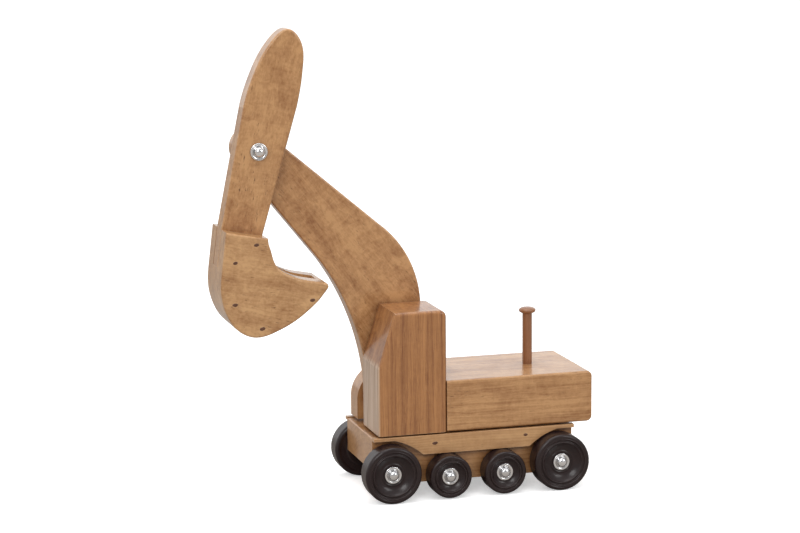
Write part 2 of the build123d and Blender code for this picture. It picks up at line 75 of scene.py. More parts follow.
# ---------------------------------------------------------------- node trees
class Recipe:
    """Adds nodes to one tree and wires them as they are made."""

    def __init__(self, tree):
        self.tree = tree

    def node(self, kind, inputs=None, **settings):
        made = self.tree.nodes.new(kind)
        for name, value in settings.items():
            setattr(made, name, value)
        for key, value in (inputs or {}).items():
            self.feed(made.inputs[key], value)
        return made

    def feed(self, socket, value):
        if isinstance(value, bpy.types.NodeSocket):
            self.tree.links.new(value, socket)
        elif value is not None:
            socket.default_value = value

    def math(self, operation, a, b=None, clamp=False):
        made = self.node("ShaderNodeMath", operation=operation, use_clamp=clamp)
        for socket, value in zip(made.inputs, (a, b)):
            self.feed(socket, value)
        return made.outputs[0]

    def plus(self, a, b, clamp=False):
        return self.math("ADD", a, b, clamp)

    def minus(self, a, b):
        return self.math("SUBTRACT", a, b)

    def times(self, a, b, clamp=False):
        return self.math("MULTIPLY", a, b, clamp)

    def about_half(self, value, share):
        """A pattern that runs from 0 to 1, moved to swing either side of nothing."""
        return self.times(self.minus(value, 0.5), share)

    def vector(self, operation, a, b=None, scale=None):
        made = self.node("ShaderNodeVectorMath", operation=operation)
        self.feed(made.inputs[0], a)
        if b is not None:
            self.feed(made.inputs[1], b)
        if scale is not None:
            self.feed(made.inputs["Scale"], scale)
        gives_number = operation in ("LENGTH", "DOT_PRODUCT")
        return made.outputs["Value" if gives_number else "Vector"]

    def noise(self, vector, scale=1.0, detail=2.0, roughness=0.5, distortion=0.0, output="Fac"):
        return self.node("ShaderNodeTexNoise", {
            "Vector": vector, "Scale": scale, "Detail": detail,
            "Roughness": roughness, "Distortion": distortion,
        }).outputs[output]

    def stretched(self, vector, across, along):
        """The same place with its scale changed across and along the grain, which runs along Z."""
        return self.vector("MULTIPLY", vector, (across, across, along))

    def span(self, value, low, high, to_low=0.0, to_high=1.0, smooth=False):
        made = self.node("ShaderNodeMapRange", {
            "From Min": low, "From Max": high, "To Min": to_low, "To Max": to_high,
        }, interpolation_type="SMOOTHSTEP" if smooth else "LINEAR")
        self.feed(made.inputs["Value"], value)
        return made.outputs["Result"]

    def mix(self, share, a, b, blend="MIX"):
        made = self.node("ShaderNodeMix", data_type="RGBA", blend_type=blend)
        made.clamp_factor = True
        self.feed(made.inputs[0], share)
        self.feed(made.inputs[6], a)
        self.feed(made.inputs[7], b)
        return made.outputs[2]

    def place(self):
        return self.node("ShaderNodeTexCoord").outputs["Object"]

    def shut_in(self, reach, samples=6):
        """1 on an open surface, less in seams and corners narrower than the reach."""
        occlusion = self.node("ShaderNodeAmbientOcclusion", {"Distance": reach}, samples=samples)
        return occlusion.outputs["AO"]

    def edge_bend(self, radius, samples=4):
        """How far the surface turns within a radius: 0 on flats, more on arrises."""
        true_normal = self.node("ShaderNodeNewGeometry").outputs["Normal"]
        soft_normal = self.node("ShaderNodeBevel", {"Radius": radius}, samples=samples).outputs[0]
        return self.minus(1.0, self.vector("DOT_PRODUCT", true_normal, soft_normal))

    def bump(self, height, strength, distance):
        return self.node("ShaderNodeBump", {
            "Strength": strength, "Distance": distance, "Height": height,
        }).outputs["Normal"]


def colour(*rgb):
    return (*rgb, 1.0)


def new_socket(tree, name, kind, value=None, is_output=False):
    made = tree.interface.new_socket(
        name=name, in_out="OUTPUT" if is_output else "INPUT", socket_type=kind)
    if value is not None:
        made.default_value = value


def new_material(name):
    """An empty material's recipe and its main shader."""
    material = bpy.data.materials.new(name)
    material.use_nodes = True
    return material, Recipe(material.node_tree), material.node_tree.nodes["Principled BSDF"]


# ---------------------------------------------------------------- hardwood
PORE_BROWN = colour(0.11, 0.045, 0.018)
SEASON_STOPS = ((0.0, 0.10), (0.55, 0.30), (0.84, 0.85), (0.93, 0.70), (1.0, 0.10))
BASE_LATENESS = 0.28


def timber_group():
    """Figured hardwood in the solid: rings, fibres, blotches and pores, with the grain along Z."""
    tree = bpy.data.node_groups.new("hardwood_figure", "ShaderNodeTree")
    new_socket(tree, "Place", "NodeSocketVector")
    new_socket(tree, "Early Wood", "NodeSocketColor", colour(0.5, 0.3, 0.15))
    new_socket(tree, "Late Wood", "NodeSocketColor", colour(0.3, 0.16, 0.07))
    new_socket(tree, "Ring Width", "NodeSocketFloat", 3.0)
    for name in ("Ring Show", "Streaks", "Blotches", "Pores"):
        new_socket(tree, name, "NodeSocketFloat", 0.5)
    new_socket(tree, "Colour", "NodeSocketColor", is_output=True)
    new_socket(tree, "Relief", "NodeSocketFloat", is_output=True)
    new_socket(tree, "Dryness", "NodeSocketFloat", is_output=True)
    r = Recipe(tree)
    given = tree.nodes.new("NodeGroupInput").outputs
    place = r.vector("SCALE", given["Place"], scale=1000.0)

    # growth rings, long along the grain and swaying with the trunk
    sway = r.noise(r.stretched(place, 0.022, 0.006), detail=3.0, roughness=0.45, output="Color")
    sway = r.vector("SCALE", r.vector("SUBTRACT", sway, (0.5, 0.5, 0.5)), scale=16.0)
    swayed = r.vector("ADD", place, sway)
    flat = r.vector("MULTIPLY", swayed, (1.0, 1.0, 0.035))
    age = r.math("DIVIDE", r.vector("LENGTH", flat), given["Ring Width"])
    age = r.plus(age, r.times(r.noise(r.stretched(place, 0.09, 0.009), detail=2.0), 1.3))
    season = r.node("ShaderNodeValToRGB")
    season.color_ramp.interpolation = "EASE"
    stops = season.color_ramp.elements
    (stops[0].position, first), (stops[1].position, second) = SEASON_STOPS[:2]
    stops[0].color, stops[1].color = colour(first, first, first), colour(second, second, second)
    for position, value in SEASON_STOPS[2:]:
        stops.new(position).color = colour(value, value, value)
    r.feed(season.inputs["Fac"], r.math("FRACT", age))
    vigour = r.noise(r.stretched(place, 0.06, 0.004), detail=1.0)
    ring = r.times(season.outputs["Color"], given["Ring Show"])
    ring = r.times(ring, r.span(vigour, 0.35, 0.65, 0.35, 1.0))

    # fibres, from broad bands to single hairs
    broad = r.noise(r.stretched(place, 0.16, 0.004), detail=3.0, roughness=0.55)
    fine = r.noise(r.stretched(swayed, 1.3, 0.022), detail=3.0, roughness=0.6)
    hair = r.noise(r.stretched(swayed, 3.6, 0.07), detail=2.0, roughness=0.6)
    streak = r.plus(r.about_half(broad, 1.5), r.about_half(fine, 1.0))
    streak = r.times(r.plus(streak, r.about_half(hair, 0.55)), given["Streaks"])

    # where the varnish sank in unevenly
    cloud = r.noise(r.stretched(place, 0.050, 0.026), detail=4.0, roughness=0.66, distortion=0.7)
    curl = r.noise(r.stretched(place, 0.07, 0.17), detail=3.0, roughness=0.6, distortion=1.0)
    speck = r.noise(r.stretched(place, 0.55, 0.26), detail=3.0, roughness=0.65)
    blotch = r.plus(r.about_half(cloud, 2.3), r.about_half(curl, 1.1))
    blotch = r.times(r.plus(blotch, r.about_half(speck, 1.1)), given["Blotches"])

    lateness = r.plus(r.plus(ring, streak), blotch)
    lateness = r.plus(lateness, BASE_LATENESS, clamp=True)
    tint = r.mix(lateness, given["Early Wood"], given["Late Wood"])

    # short dark pores, in patches
    dash = r.noise(r.stretched(swayed, 0.62, 0.15), detail=3.0, roughness=0.62)
    dash = r.span(dash, 0.60, 0.74, smooth=True)
    patch = r.noise(r.stretched(place, 0.05, 0.02), detail=1.0)
    pore = r.times(dash, r.span(patch, 0.42, 0.62, 0.15, 1.0))
    pore = r.times(pore, given["Pores"])

    relief = r.minus(r.times(fine, 0.5), r.times(pore, 0.6))
    out = tree.nodes.new("NodeGroupOutput")
    r.feed(out.inputs["Colour"], r.mix(pore, tint, PORE_BROWN))
    r.feed(out.inputs["Relief"], r.plus(relief, r.times(ring, 0.25)))
    r.feed(out.inputs["Dryness"], r.plus(r.times(fine, 0.5), r.times(pore, 0.4)))
    return tree


HARDWOOD = timber_group()

# pale colour on the arrises: a painted highlight, partly rubbed wear
ARRIS_SHEEN_AND_WEAR = colour(0.62, 0.42, 0.26)
ARRIS_RADIUS = 1.4 * MM
ARRIS_SHARE = 0.45
# painted shade in seams and corners, where ambient occlusion finds them
SEAM_REACH = 9.0 * MM
SEAM_SHARE = 0.55
SEAM_SHADE_TINT = colour(0.42, 0.27, 0.18)
SAPWOOD_DARK = colour(0.30, 0.155, 0.080)
SAPWOOD_PALE = colour(0.66, 0.50, 0.36)
SAPWOOD_FADE = 1.2 * MM
SAPWOOD_SHARE = 0.85


def grain_turn(direction):
    """Euler angles that turn a grain direction upright, so that the figure runs along it."""
    return Vector(direction).rotation_difference(Vector((0, 0, 1))).to_euler()


def with_sapwood(r, tint, place, front):
    """Pale striped wood on the layer in front of a place along Y."""
    depth = r.node("ShaderNodeSeparateXYZ", {"Vector": place}).outputs["Y"]
    stripes = r.noise(r.vector("MULTIPLY", place, (420.0, 60.0, 9.0)), detail=2.0)
    pale = r.mix(r.span(stripes, 0.36, 0.60), SAPWOOD_DARK, SAPWOOD_PALE)
    share = r.span(depth, front, front + SAPWOOD_FADE, SAPWOOD_SHARE, 0.0)
    return r.mix(share, tint, pale)


def varnished(name, woods, grain, heart, ring_width, ring_show, streaks, blotches, pores,
              arris=ARRIS_SHEEN_AND_WEAR, gloss=0.16, sapwood=None):
    """Varnished hardwood of two woods, early and late.

    heart is where the tree's middle lies beside the board, in metres. sapwood, if given, is the
    place along Y in front of which the wood is pale and striped.
    """
    material, r, shader = new_material(name)
    place = r.place()
    board = r.node("ShaderNodeMapping", {"Vector": place}, vector_type="POINT")
    turn = grain_turn(grain)
    board.inputs["Rotation"].default_value = turn
    board.inputs["Location"].default_value = -(turn.to_matrix() @ Vector(heart))
    wood = r.node("ShaderNodeGroup", node_tree=HARDWOOD)
    for key, value in (
            ("Place", board.outputs["Vector"]), ("Early Wood", woods[0]), ("Late Wood", woods[1]),
            ("Ring Width", ring_width), ("Ring Show", ring_show), ("Streaks", streaks),
            ("Blotches", blotches), ("Pores", pores)):
        r.feed(wood.inputs[key], value)
    tint = wood.outputs["Colour"]
    if sapwood is not None:
        tint = with_sapwood(r, tint, place, sapwood)

    # paler on the arrises: a painted highlight, partly rubbed wear; darker in seams and corners:
    # painted shade
    sheen_and_rub = r.noise(r.vector("SCALE", place, scale=140.0), detail=3.0, roughness=0.6)
    edge = r.times(r.span(r.edge_bend(ARRIS_RADIUS), 0.015, 0.20),
                   r.span(sheen_and_rub, 0.35, 0.62, 0.25, 1.0), clamp=True)
    tint = r.mix(r.times(edge, ARRIS_SHARE), tint, arris)
    # painted shade: darker in seams and corners
    seam_shade = r.span(r.shut_in(SEAM_REACH), 0.35, 0.92, SEAM_SHARE, 0.0)
    tint = r.mix(seam_shade, tint, r.mix(1.0, tint, SEAM_SHADE_TINT, "MULTIPLY"))
    r.feed(shader.inputs["Base Color"], tint)

    handled = r.noise(r.vector("SCALE", place, scale=38.0), detail=4.0, roughness=0.65)
    matt = r.plus(r.times(wood.outputs["Dryness"], 0.20), r.span(handled, 0.3, 0.7, 0.30, 0.48))
    r.feed(shader.inputs["Roughness"], matt)
    shader.inputs["IOR"].default_value = 1.48
    shader.inputs["Specular IOR Level"].default_value = 0.35
    shader.inputs["Coat Weight"].default_value = 0.85
    shader.inputs["Coat Roughness"].default_value = gloss
    shader.inputs["Coat IOR"].default_value = 1.5

    relief = wood.outputs["Relief"]
    r.feed(shader.inputs["Normal"], r.bump(relief, 0.30, 0.12 * MM))
    swell = r.noise(r.vector("SCALE", place, scale=210.0), detail=2.0)
    film = r.plus(r.times(relief, 0.8), r.times(swell, 0.5))
    r.feed(shader.inputs["Coat Normal"], r.bump(film, 0.16, 0.10 * MM))
    return material


# ---------------------------------------------------------------- other finishes
# dark colour painted into the hollows of metal parts: painted shade
SEAT_SHADE = colour(0.045, 0.038, 0.036)
SEAT_REACH = 1.6 * MM
DULLED_SHARE = 0.62


def metal(name, tint, shine, wear, scale, brushed=0.0):
    """Steel with fine handling marks, dulled patches and painted shade in its hollows."""
    material, r, shader = new_material(name)
    place = r.place()
    marks = r.noise(r.vector("MULTIPLY", place, (scale * 0.25, scale, scale)),
                    detail=5.0, roughness=0.7)
    smudge = r.noise(r.vector("SCALE", place, scale=scale * 0.12), detail=2.0)
    dull = r.times(r.span(smudge, 0.35, 0.7), wear)
    dulled = colour(*(DULLED_SHARE * c for c in tint[:3]))
    # painted shade in grooves and seats
    seat_shade = r.span(r.shut_in(SEAT_REACH), 0.45, 0.85, 0.9, 0.0)
    r.feed(shader.inputs["Base Color"], r.mix(seat_shade, r.mix(dull, tint, dulled), SEAT_SHADE))
    rough = r.plus(r.times(marks, 0.05), r.times(dull, 0.10))
    r.feed(shader.inputs["Roughness"], r.plus(rough, shine, clamp=True))
    shader.inputs["Metallic"].default_value = 1.0
    if brushed:
        r.feed(shader.inputs["Normal"], r.bump(marks, brushed, 0.01 * MM))
    return material


ESPRESSO = colour(0.0100, 0.0042, 0.0045)
ESPRESSO_LIGHT = colour(0.024, 0.0108, 0.0110)
ESPRESSO_WORN = colour(0.040, 0.020, 0.018)
# lighter brown on the turned arrises: a painted highlight in place of glints, partly rubbed wear
ESPRESSO_SHEEN_AND_WEAR = colour(0.115, 0.082, 0.076)
ESPRESSO_PORE = colour(0.006, 0.004, 0.004)
RINGS_PER_METRE = 1900.0
TOOL_PASS = 5200.0


def lacquered_wheel(name):
    """Near-black brown lacquer over turned hardwood, with tool rings left by the lathe.

    The turned surface carries its own distance from the axle in the attribute turned.
    """
    material, r, shader = new_material(name)
    turned = r.node("ShaderNodeAttribute", attribute_name="turned").outputs["Vector"]
    parts = r.node("ShaderNodeSeparateXYZ", {"Vector": turned}).outputs
    radius, depth, around = parts["X"], parts["Y"], parts["Z"]
    place = r.place()
    rings = r.node("ShaderNodeCombineXYZ", {
        "X": r.times(radius, RINGS_PER_METRE), "Y": r.times(depth, RINGS_PER_METRE),
        "Z": r.times(around, 0.6),
    }).outputs["Vector"]
    tool = r.noise(rings, detail=3.0, roughness=0.6)
    pass_marks = r.math("SINE", r.times(r.plus(radius, depth), TOOL_PASS))
    pores = r.noise(r.vector("MULTIPLY", place, (260.0, 1500.0, 1500.0)),
                    detail=3.0, roughness=0.6)
    pores = r.span(pores, 0.58, 0.72)
    worn = r.noise(r.vector("SCALE", place, scale=70.0), detail=4.0, roughness=0.65)
    tint = r.mix(r.span(tool, 0.3, 0.75), ESPRESSO, ESPRESSO_LIGHT)
    tint = r.mix(r.times(r.span(worn, 0.52, 0.75), 0.30), tint, ESPRESSO_WORN)
    # painted highlight on the arrises, partly rubbed wear
    sheen_and_rub = r.span(r.edge_bend(0.9 * MM), 0.01, 0.12)
    tint = r.mix(r.times(sheen_and_rub, 0.6), tint, ESPRESSO_SHEEN_AND_WEAR)
    tint = r.mix(r.times(pores, 0.5), tint, ESPRESSO_PORE)
    r.feed(shader.inputs["Base Color"], tint)
    r.feed(shader.inputs["Roughness"], r.plus(r.times(worn, 0.25), 0.28))
    shader.inputs["Specular IOR Level"].default_value = 0.25
    shader.inputs["Coat Weight"].default_value = 0.40
    shader.inputs["Coat Roughness"].default_value = 0.16
    shader.inputs["Coat IOR"].default_value = 1.5
    height = r.plus(r.times(tool, 0.8), r.times(pass_marks, 0.12))
    height = r.minus(height, r.times(pores, 0.3))
    r.feed(shader.inputs["Normal"], r.bump(height, 0.55, 0.16 * MM))
    r.feed(shader.inputs["Coat Normal"], r.bump(height, 0.40, 0.12 * MM))
    return material


FIBRE_DARK = colour(0.11, 0.058, 0.032)
FIBRE_LIGHT = colour(0.23, 0.13, 0.075)
FIBRE_STAIN = colour(0.08, 0.045, 0.03)


def fibre_board(name):
    """Dark waxed hardboard, mottled and almost matt."""
    material, r, shader = new_material(name)
    place = r.place()
    pulp = r.noise(r.vector("SCALE", place, scale=900.0), detail=4.0, roughness=0.7)
    patch = r.noise(r.vector("SCALE", place, scale=60.0), detail=3.0)
    tint = r.mix(pulp, FIBRE_DARK, FIBRE_LIGHT)
    r.feed(shader.inputs["Base Color"], r.mix(r.times(patch, 0.5), tint, FIBRE_STAIN))
    r.feed(shader.inputs["Roughness"], r.span(pulp, 0.2, 0.8, 0.45, 0.72))
    r.feed(shader.inputs["Normal"], r.bump(pulp, 0.4, 0.10 * MM))
    return material


# ---------------------------------------------------------------- which piece has which finish
LENGTHWISE = (0, 1, 0)
UPRIGHT = (0, 0, 1)
STICK_TILT = math.radians(12.8)
ALONG_STICK = (0, math.sin(STICK_TILT), math.cos(STICK_TILT))
ACROSS_STICK = (0, math.cos(STICK_TILT), -math.sin(STICK_TILT))
ALONG_BOOM = (0, -0.60, 0.80)

# early wood and late wood
HONEY = colour(0.555, 0.300, 0.127), colour(0.255, 0.098, 0.026)
AMBER = colour(0.60, 0.345, 0.155), colour(0.290, 0.122, 0.037)
RUSSET = colour(0.455, 0.205, 0.070), colour(0.200, 0.066, 0.017)
DARK_RUSSET = colour(0.34, 0.145, 0.058), colour(0.16, 0.055, 0.019)
RAW_BIRCH = colour(0.62, 0.46, 0.28), colour(0.42, 0.28, 0.15)
FILLER = colour(0.135, 0.048, 0.017), colour(0.055, 0.018, 0.007)
# arris colour of the filler: a painted highlight, partly rubbed wear
FILLER_ARRIS = colour(0.12, 0.05, 0.025)
CAB_SAPWOOD = -0.0309


def set_finishes():
    """Gives every carried-over node its own board, so that no two pieces share a figure."""
    near_chrome = metal("bright_pressed_steel", colour(0.88, 0.88, 0.89),
                        shine=0.15, wear=0.30, scale=500.0)
    drawn = metal("drawn_axle_steel", colour(0.60, 0.60, 0.61),
                  shine=0.20, wear=0.5, scale=1400.0, brushed=0.2)
    zinc = metal("zinc_plated_bolt", colour(0.55, 0.55, 0.57),
                 shine=0.26, wear=0.6, scale=1100.0, brushed=0.2)
    dulled = metal("dulled_nail_steel", colour(0.16, 0.12, 0.10),
                   shine=0.38, wear=0.8, scale=1800.0, brushed=0.4)
    board = fibre_board("waxed_fibre_board")
    lacquer = lacquered_wheel("espresso_lacquer")
    chassis = varnished(
        "chassis_timber", HONEY, LENGTHWISE, heart=(0.031, 0.0, -0.035),
        ring_width=4.2, ring_show=0.35, streaks=0.50, blotches=0.35, pores=0.55)
    fender_near = varnished(
        "near_fender_timber", AMBER, LENGTHWISE, heart=(0.0, 0.1, 0.315),
        ring_width=2.6, ring_show=0.30, streaks=0.50, blotches=0.35, pores=0.60)
    fender_far = varnished(
        "far_fender_timber", AMBER, LENGTHWISE, heart=(0.02, -0.2, 0.340),
        ring_width=2.9, ring_show=0.30, streaks=0.50, blotches=0.35, pores=0.60)
    cab = varnished(
        "cab_timber", RUSSET, UPRIGHT, heart=(0.05, -0.62, 0.0),
        ring_width=4.2, ring_show=0.50, streaks=1.25, blotches=0.25, pores=0.30,
        sapwood=CAB_SAPWOOD)
    side = varnished(
        "side_block_timber", HONEY, UPRIGHT, heart=(-0.085, -0.50, 0.0),
        ring_width=2.8, ring_show=0.40, streaks=0.70, blotches=0.30, pores=0.35)
    engine = varnished(
        "engine_timber", HONEY, LENGTHWISE, heart=(-0.02, 0.3, -0.085),
        ring_width=5.6, ring_show=0.42, streaks=0.95, blotches=0.55, pores=0.70)
    boom = varnished(
        "boom_timber", HONEY, ALONG_BOOM, heart=(0.175, 0.02, 0.06),
        ring_width=9.5, ring_show=0.20, streaks=0.45, blotches=0.85, pores=1.0)
    stick = varnished(
        "stick_timber", HONEY, ALONG_STICK, heart=(0.190, -0.16, 0.1),
        ring_width=9.5, ring_show=0.20, streaks=0.45, blotches=0.85, pores=1.0)
    scoop_near = varnished(
        "near_scoop_timber", AMBER, ACROSS_STICK, heart=(0.20, 0.0, 0.23),
        ring_width=8.0, ring_show=0.20, streaks=0.45, blotches=0.80, pores=0.9)
    scoop_far = varnished(
        "far_scoop_timber", AMBER, ALONG_STICK, heart=(0.18, 0.1, 0.15),
        ring_width=8.0, ring_show=0.16, streaks=0.36, blotches=0.55, pores=0.85)
    scoop_back = varnished(
        "scoop_back_timber", AMBER, ALONG_STICK, heart=(0.17, -0.14, 0.20),
        ring_width=6.0, ring_show=0.2, streaks=0.40, blotches=0.50, pores=0.80)
    peg = varnished(
        "peg_timber", DARK_RUSSET, UPRIGHT, heart=(0.010, 0.128, 0.0),
        ring_width=2.4, ring_show=0.35, streaks=0.55, blotches=0.25, pores=0.40)
    dowel = varnished(
        "raw_dowel_timber", RAW_BIRCH, UPRIGHT, heart=(0.02, 0.02, 0.0),
        ring_width=1.8, ring_show=0.4, streaks=0.4, blotches=0.2, pores=0.3, gloss=0.45)
    filler = varnished(
        "nail_hole_filler", FILLER, LENGTHWISE, heart=(0.01, 0.0, 0.0),
        ring_width=1.2, ring_show=0.5, streaks=0.8, blotches=0.6, pores=0.6,
        arris=FILLER_ARRIS)
    finishes = {
        "chassis_block": chassis, "fender_left": fender_near, "fender_right": fender_far,
        "fender_nails": dulled, "turntable_disc": board, "axle_caps": near_chrome,
        "cab_block": cab, "side_block": side, "engine_block": engine, "house_dowels": dowel,
        "exhaust_peg": peg, "boom_pin": dowel, "slew_bolt": zinc, "slew_washer": zinc,
        "boom": boom, "stick_pin": drawn, "stick_pin_caps": near_chrome, "stick_washer": board,
        "stick": stick, "bucket_side_left": scoop_near, "bucket_side_right": scoop_far,
        "bucket_back": scoop_back, "bucket_nails": dulled,
    }
    for name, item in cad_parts.items():
        if name in finishes:
            chosen = finishes[name]
        elif name.endswith("_axle"):
            chosen = drawn
        elif "_wheel_" in name:
            chosen = lacquer
        else:
            raise RuntimeError(f"no finish for {name}")
        item.data.materials.clear()
        item.data.materials.append(chosen)
    return {"lacquer": lacquer, "chrome": near_chrome, "filler": filler, "peg": peg}


# ---------------------------------------------------------------- studio
WHITE = colour(1.0, 1.0, 1.0)
BRIGHT_SIDE = Vector((-0.80, -0.25, 0.55)).normalized()
ROOM_DIM = 0.32
ROOM_BRIGHT = 1.0
BACKDROP = 1.1
LIT_MIDDLE = Vector((0.0, 0.0, 0.15))
# name, place, side, watts
SOFTBOXES = (
    ("overhead_softbox", Vector((0.3, -0.1, 2.4)), 1.6, 16.0),
    ("front_softbox", Vector((2.5, -1.15, 1.7)), 1.2, 27.0),
    ("side_softbox", Vector((2.2, 1.6, 1.2)), 1.0, 15.0),
)
FLOOR_RADIUS = 40.0
FLOOR_SHADE = colour(0.40, 0.37, 0.34)
PAPER_TONES = colour(0.93, 0.93, 0.93), colour(0.95, 0.95, 0.95)
PAPER_GLOW = 0.45


def add_softbox(name, place, side, power):
    data = bpy.data.lights.new(name, "AREA")
    data.shape = "RECTANGLE"
    data.size = data.size_y = side
    data.energy = power
    lamp = bpy.data.objects.new(name, data)
    SCENE.collection.objects.link(lamp)
    lamp.location = place
    lamp.rotation_mode = "QUATERNION"
    lamp.rotation_quaternion = (LIT_MIDDLE - place).to_track_quat("-Z", "Y")


def set_up_room():
    """Pale surroundings, brighter above and behind the toy than on the camera's side."""
    world = bpy.data.worlds.new("pale_studio")
    SCENE.world = world
    world.use_nodes = True
    r = Recipe(world.node_tree)
    toward = r.node("ShaderNodeTexCoord").outputs["Generated"]
    facing = r.vector("DOT_PRODUCT", toward, BRIGHT_SIDE)
    room = r.span(facing, -0.55, 0.45, ROOM_DIM, ROOM_BRIGHT, smooth=True)
    seen = r.node("ShaderNodeLightPath").outputs["Is Camera Ray"]
    strength = r.plus(r.times(seen, BACKDROP), r.times(r.minus(1.0, seen), room))
    background = world.node_tree.nodes["Background"]
    background.inputs["Color"].default_value = WHITE
    r.feed(background.inputs["Strength"], strength)


def paper_material():
    """White paper to the eye, a warm grey to the lights, so that near faces keep their colour."""
    paper, r, shader = new_material("white_paper")
    tooth = r.noise(r.vector("SCALE", r.place(), scale=30.0), detail=4.0)
    seen = r.node("ShaderNodeLightPath").outputs["Is Camera Ray"]
    bright = r.mix(tooth, *PAPER_TONES)
    r.feed(shader.inputs["Base Color"], r.mix(seen, FLOOR_SHADE, bright))
    shader.inputs["Roughness"].default_value = 0.9
    shader.inputs["Specular IOR Level"].default_value = 0.1
    shader.inputs["Emission Color"].default_value = WHITE
    r.feed(shader.inputs["Emission Strength"], r.times(seen, PAPER_GLOW))
    return paper


def set_up_studio():
    SCENE.view_settings.view_transform = "Standard"
    set_up_room()
    for softbox in SOFTBOXES:
        add_softbox(*softbox)
    mesh = bpy.data.meshes.new("studio_floor")
    disc = bmesh.new()
    bmesh.ops.create_circle(disc, cap_ends=True, segments=96, radius=FLOOR_RADIUS)
    disc.to_mesh(mesh)
    disc.free()
    floor = bpy.data.objects.new("studio_floor", mesh)
    SCENE.collection.objects.link(floor)
    mesh.materials.append(paper_material())


# ---------------------------------------------------------------- lathe
WELD = 0.004 * MM


def lathe_tree():
    """Turns a profile curve, drawn as axial place in X and radius in Z, about the X axis."""
    tree = bpy.data.node_groups.new("lathe", "GeometryNodeTree")
    new_socket(tree, "Geometry", "NodeSocketGeometry")
    new_socket(tree, "Corner Radius", "NodeSocketFloat", 0.5 * MM)
    new_socket(tree, "Profile Step", "NodeSocketFloat", 0.5 * MM)
    new_socket(tree, "Segments", "NodeSocketInt", 96)
    new_socket(tree, "Place", "NodeSocketVector")
    new_socket(tree, "Turn", "NodeSocketVector")
    new_socket(tree, "Finish", "NodeSocketMaterial")
    new_socket(tree, "Geometry", "NodeSocketGeometry", is_output=True)
    r = Recipe(tree)
    given = tree.nodes.new("NodeGroupInput").outputs

    # the profile, with its corners eased and its points evenly spaced
    eased = r.node("GeometryNodeFilletCurve", {
        "Curve": given["Geometry"], "Radius": given["Corner Radius"],
        "Limit Radius": True, "Count": 5,
    }, mode="POLY").outputs[0]
    stepped = r.node("GeometryNodeResampleCurve", {
        "Curve": eased, "Length": given["Profile Step"],
    }, mode="LENGTH").outputs[0]
    wire = r.node("GeometryNodeCurveToMesh", {"Curve": stepped}).outputs[0]
    size = r.node("GeometryNodeAttributeDomainSize", {"Geometry": wire}, component="MESH")
    count = size.outputs["Point Count"]

    # a grid whose columns are that profile, wrapped round the axis
    columns = r.plus(given["Segments"], 1.0)
    grid = r.node("GeometryNodeMeshGrid", {"Vertices X": columns, "Vertices Y": count})
    index = r.node("GeometryNodeInputIndex").outputs[0]
    along = r.math("MODULO", index, count)
    turn = r.math("FLOOR", r.math("DIVIDE", r.plus(index, 0.5), count))
    angle = r.times(r.math("DIVIDE", turn, given["Segments"]), math.tau)
    sample = r.node("GeometryNodeSampleIndex", {"Geometry": wire, "Index": along},
                    data_type="FLOAT_VECTOR", domain="POINT")
    r.feed(sample.inputs["Value"], r.node("GeometryNodeInputPosition").outputs[0])
    drawn = r.node("ShaderNodeSeparateXYZ", {"Vector": sample.outputs[0]}).outputs
    swept = r.node("ShaderNodeCombineXYZ", {
        "X": drawn["X"], "Y": r.times(drawn["Z"], r.math("COSINE", angle)),
        "Z": r.times(drawn["Z"], r.math("SINE", angle)),
    }).outputs[0]
    surface = r.node("GeometryNodeSetPosition", {
        "Geometry": grid.outputs["Mesh"], "Position": swept,
    }).outputs[0]
    mark = r.node("ShaderNodeCombineXYZ", {"X": drawn["Z"], "Y": drawn["X"]}).outputs[0]
    marked = r.node("GeometryNodeStoreNamedAttribute", {"Geometry": surface, "Name": "turned"},
                    data_type="FLOAT_VECTOR", domain="POINT")
    r.feed(marked.inputs["Value"], mark)

    # closed at the seam and the poles, then set in its place
    joined = r.node("GeometryNodeMergeByDistance", {
        "Geometry": marked.outputs[0], "Distance": WELD,
    }).outputs[0]
    placed = r.node("GeometryNodeTransform", {
        "Geometry": joined, "Translation": given["Place"], "Rotation": given["Turn"],
    }).outputs[0]
    smooth = r.node("GeometryNodeSetShadeSmooth", {"Geometry": placed}).outputs[0]
    real = r.node("GeometryNodeRealizeInstances", {"Geometry": smooth}).outputs[0]
    finished = r.node("GeometryNodeSetMaterial", {"Geometry": real, "Material": given["Finish"]})
    r.feed(tree.nodes.new("NodeGroupOutput").inputs["Geometry"], finished.outputs[0])
    return tree


LATHE = lathe_tree()


def socket_id(tree, name):
    return next(item.identifier for item in tree.interface.items_tree
                if item.item_type == "SOCKET" and item.in_out == "INPUT" and item.name == name)


def grow(source, tree, values):
    """The plain mesh that a node tree makes of a source object, which is used up."""
    modifier = source.modifiers.new(tree.name, "NODES")
    modifier.node_group = tree
    for name, value in values.items():
        modifier[socket_id(tree, name)] = value
    source.update_tag()
    graph = bpy.context.evaluated_depsgraph_get()
    mesh = bpy.data.meshes.new_from_object(source.evaluated_get(graph), depsgraph=graph)
    source.modifiers.clear()
    bpy.data.objects.remove(source)
    return mesh


def outward(mesh):
    """Recalculates a closed mesh so that every face points outwards."""
    shell = bmesh.new()
    shell.from_mesh(mesh)
    bmesh.ops.recalc_face_normals(shell, faces=shell.faces)
    shell.to_mesh(mesh)
    shell.free()
    return mesh


def profile_curve(name, points):
    """Open curve through (axial, radius) points given in millimetres."""
    data = bpy.data.curves.new(name, "CURVE")
    data.dimensions = "3D"
    spline = data.splines.new("POLY")
    spline.points.add(len(points) - 1)
    for point, (axial, radius) in zip(spline.points, points):
        point.co = (axial * MM, 0.0, radius * MM, 1.0)
    item = bpy.data.objects.new(name, data)
    SCENE.collection.objects.link(item)
    return item


